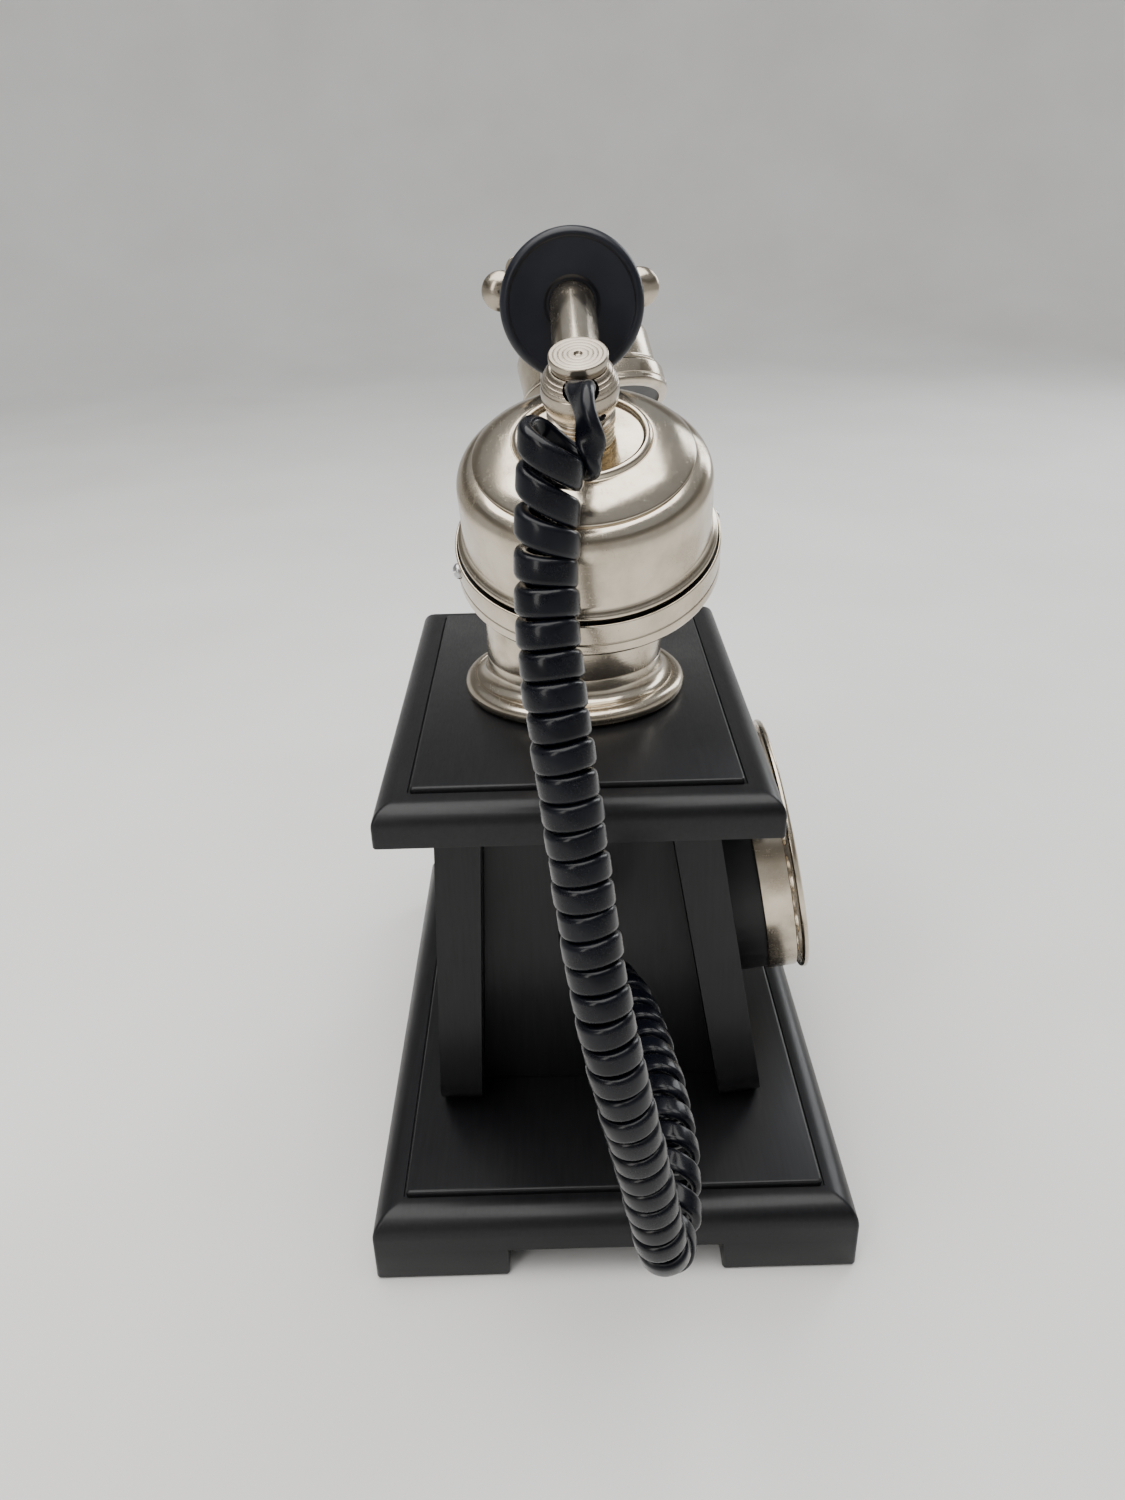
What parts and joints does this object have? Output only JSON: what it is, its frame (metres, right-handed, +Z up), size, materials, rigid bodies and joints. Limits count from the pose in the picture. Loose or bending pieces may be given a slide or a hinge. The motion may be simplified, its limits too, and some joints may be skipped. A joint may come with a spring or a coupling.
{
  "type": "desk telephone",
  "caption": "Desk telephone with a rotary dial on a black wooden stand, a nickel pedestal with a fork cradle, and a handset on a curly cord.",
  "frame": {"origin": "centre of the stand's footprint on the surface that it rests on", "axes": "+Z up, the dial faces -Y, the handset lies along X with its corded end at -X"},
  "size_m": [0.2845, 0.131, 0.2612],
  "materials": {
    "black_wood": "satin black lacquer",
    "nickel": "polished nickel plate",
    "steel": "plain",
    "brass": "machined thread, thin plate",
    "satin_plastic": "satin blue-black",
    "black_plastic": "moulded black",
    "clear_plastic": "clear moulded",
    "cord_jacket": "glossy blue-black jacket",
    "enamel": "white enamel",
    "felt": "felt",
    "hardboard": "black hardboard",
    "circuit": "board with parts",
    "copper": "enamelled winding"
  },
  "bodies": {
    "root": {"back_board": "black_wood", "base_plinth": "black_wood", "bottom_plate": "hardboard", "bottom_screws": "steel", "circuit_board": "circuit", "cord_jack": "black_plastic", "cord_plug": "clear_plastic", "corner_feet": "black_wood", "dial_bezel": "nickel", "dial_cup": "black_plastic", "dial_mechanism": "black_plastic", "finger_stop": "nickel", "foot_pads": "felt", "front_board": "black_wood", "handset_cord": "cord_jacket", "hook_spring": "steel", "hook_switch": "black_plastic", "left_side_panel": "black_wood", "line_jack": "black_plastic", "number_plate": "enamel", "pedestal_cap": "nickel", "pedestal_column": "nickel", "plug_lead": "cord_jacket", "right_side_panel": "black_wood", "ringer_coils": "copper", "ringer_frame": "steel", "ringer_gongs": "nickel", "top_platform": "black_wood"},
    "cradle": {"cradle_rod": "steel", "cradle_hub": "nickel", "cradle_bar": "nickel", "left_fork": "nickel", "right_fork": "nickel"},
    "handset": {"receiver_band": "nickel", "receiver_band_screws": "nickel", "receiver_capsule": "steel", "receiver_cover": "black_plastic", "receiver_cup": "nickel", "receiver_elbow": "nickel", "receiver_elbow_cap": "nickel", "receiver_stem": "brass", "transmitter_band": "nickel", "transmitter_band_screws": "nickel", "transmitter_capsule": "steel", "transmitter_cover": "black_plastic", "transmitter_cup": "nickel", "transmitter_elbow": "nickel", "transmitter_elbow_cap": "nickel", "transmitter_stem": "brass", "handset_tube": "nickel", "hand_grip": "satin_plastic", "left_grip_collar": "satin_plastic", "right_grip_collar": "satin_plastic", "elbow_lead": "cord_jacket"},
    "finger_wheel": {"finger_wheel": "nickel", "wheel_cap": "nickel", "dial_spindle": "steel"},
    "clapper": {"ringer_clapper": "steel"}
  },
  "joints": [
    {"name": "handset_lift", "type": "slide", "parent": "root", "child": "handset", "axis": [0, 0, 1], "range_m": [0, 0.045]},
    {"name": "cradle_rise", "type": "slide", "parent": "root", "child": "cradle", "axis": [0, 0, 1], "range_m": [0, 0.005], "deforming": ["hook_spring"]},
    {"name": "dial_turn", "type": "hinge", "parent": "root", "child": "finger_wheel", "pos_m": [0, -0.05633, 0.07994], "axis": [0, 0.9857, -0.1685], "range_deg": [0, 327], "stiffness_Nm_per_rad": 0.02},
    {"name": "clapper_swing", "type": "hinge", "parent": "root", "child": "clapper", "pos_m": [0, 0.011, 0.06], "axis": [0, 1, 0], "range_deg": [-4, 4]}
  ],
  "couplings": [
    {"joint": "cradle_rise", "follows": "handset_lift", "ratio": 0.11111}
  ]
}
